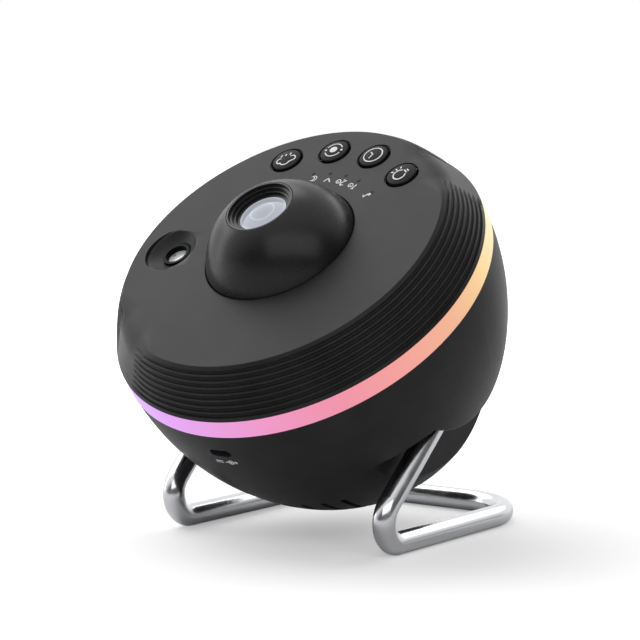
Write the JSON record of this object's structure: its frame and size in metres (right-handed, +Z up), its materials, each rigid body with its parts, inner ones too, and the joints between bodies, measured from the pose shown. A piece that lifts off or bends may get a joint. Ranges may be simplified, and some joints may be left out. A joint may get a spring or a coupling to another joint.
{
  "type": "planetarium projector",
  "caption": "Tilting star and nebula projector: a bowl-shaped head with a ribbed rim, glowing ring, lens dome, laser recess and press buttons, hung on the pins of a bent-rod stand.",
  "frame": {"origin": "on the floor, straight below the tilt axis, midway between the stand's two sides", "axes": "+Z up; X along the tilt axis, with +X on the right seen from the front; -Y towards the front, where the head leans and the power inlet is"},
  "size_m": [0.15, 0.1528, 0.1533],
  "materials": {
    "chromed_rod": "polished",
    "housing_black": "satin",
    "lens_black": "satin",
    "ring_diffuser": "satin",
    "button_rubber": "matte",
    "lens_glass": "gloss",
    "nebula_glass": "gloss",
    "indicator_clear": "gloss",
    "zinc_screw": "satin",
    "friction_rubber": "matte",
    "white_acetal": "satin",
    "circuit_board": "gloss",
    "chip_black": "matte",
    "led_white": "gloss",
    "sink_aluminium": "satin",
    "motor_can": "satin",
    "laser_brass": "satin",
    "socket_steel": "satin",
    "speaker_steel": "satin",
    "cone_paper": "matte",
    "magnet_ferrite": "matte",
    "bezel_black": "gloss"
  },
  "bodies": {
    "stand": {"stand_frame": "chromed_rod", "friction_washers": "friction_rubber", "pivot_screws": "zinc_screw"},
    "button_lamp_body": {"button_lamp": "button_rubber"},
    "button_clock_body": {"button_clock": "button_rubber"},
    "button_orbit_body": {"button_orbit": "button_rubber"},
    "button_cloud_body": {"button_cloud": "button_rubber"},
    "nebula_wheel": {"nebula_gear": "white_acetal", "nebula_glass": "nebula_glass"},
    "nebula_drive_pinion": {"nebula_pinion": "white_acetal"},
    "grating_wheel": {"grating_gear": "white_acetal", "grating_film": "lens_glass"},
    "grating_drive_pinion": {"grating_pinion": "white_acetal"},
    "head": {"pivot_bushes": "white_acetal", "lower_bowl": "housing_black", "housing_screws": "zinc_screw", "light_ring": "ring_diffuser", "ring_light_board": "circuit_board", "ring_leds": "led_white", "upper_housing": "housing_black", "lens_dome": "lens_black", "lens_barrel": "lens_black", "projection_lens": "lens_glass", "lens_retainer": "chip_black", "barrel_screws": "zinc_screw", "key_board": "circuit_board", "key_switches": "chip_black", "key_board_screws": "zinc_screw", "indicator_pipes": "indicator_clear", "laser_bezel": "bezel_black", "laser_window": "lens_glass", "laser_carrier": "white_acetal", "laser_module": "laser_brass", "grating_motor": "motor_can", "optics_cradle": "white_acetal", "heat_sink": "sink_aluminium", "lamp_board": "circuit_board", "lamp_leds": "led_white", "condenser_tube": "chip_black", "condenser_lens": "lens_glass", "wheel_shaft": "zinc_screw", "wheel_clip": "zinc_screw", "nebula_motor": "motor_can", "port_board": "circuit_board", "power_socket": "socket_steel", "main_board": "circuit_board", "main_board_chips": "chip_black", "speaker_basket": "speaker_steel", "speaker_cone": "cone_paper", "speaker_magnet": "magnet_ferrite"}
  },
  "joints": [
    {"name": "head_tilt", "type": "hinge", "parent": "stand", "child": "head", "pos_m": [0, 0, 0.0604], "axis": [1, 0, 0], "range_deg": [-85, 6]},
    {"name": "button_lamp_press", "type": "slide", "parent": "head", "child": "button_lamp_body", "axis": [0, 0.6401, -0.7683], "range_m": [0, 0.0006], "stiffness_N_per_m": 600},
    {"name": "button_clock_press", "type": "slide", "parent": "head", "child": "button_clock_body", "axis": [0, 0.6401, -0.7683], "range_m": [0, 0.0006], "stiffness_N_per_m": 600},
    {"name": "button_orbit_press", "type": "slide", "parent": "head", "child": "button_orbit_body", "axis": [0, 0.6401, -0.7683], "range_m": [0, 0.0006], "stiffness_N_per_m": 600},
    {"name": "button_cloud_press", "type": "slide", "parent": "head", "child": "button_cloud_body", "axis": [0, 0.6401, -0.7683], "range_m": [0, 0.0006], "stiffness_N_per_m": 600},
    {"name": "nebula_wheel_spin", "type": "hinge", "parent": "head", "child": "nebula_wheel", "pos_m": [0, -0.04347, 0.08289], "axis": [0, -0.6401, 0.7683], "continuous": true},
    {"name": "nebula_pinion_spin", "type": "hinge", "parent": "head", "child": "nebula_drive_pinion", "pos_m": [0.02873, -0.06198, 0.06746], "axis": [0, -0.6401, 0.7683], "continuous": true},
    {"name": "grating_wheel_spin", "type": "hinge", "parent": "head", "child": "grating_wheel", "pos_m": [-0.04748, -0.0384, 0.09817], "axis": [0, -0.6401, 0.7683], "continuous": true},
    {"name": "grating_pinion_spin", "type": "hinge", "parent": "head", "child": "grating_drive_pinion", "pos_m": [-0.04888, -0.02878, 0.10619], "axis": [0, -0.6401, 0.7683], "continuous": true}
  ],
  "couplings": [
    {"joint": "nebula_pinion_spin", "follows": "nebula_wheel_spin", "ratio": -4},
    {"joint": "grating_pinion_spin", "follows": "grating_wheel_spin", "ratio": -2.5}
  ]
}
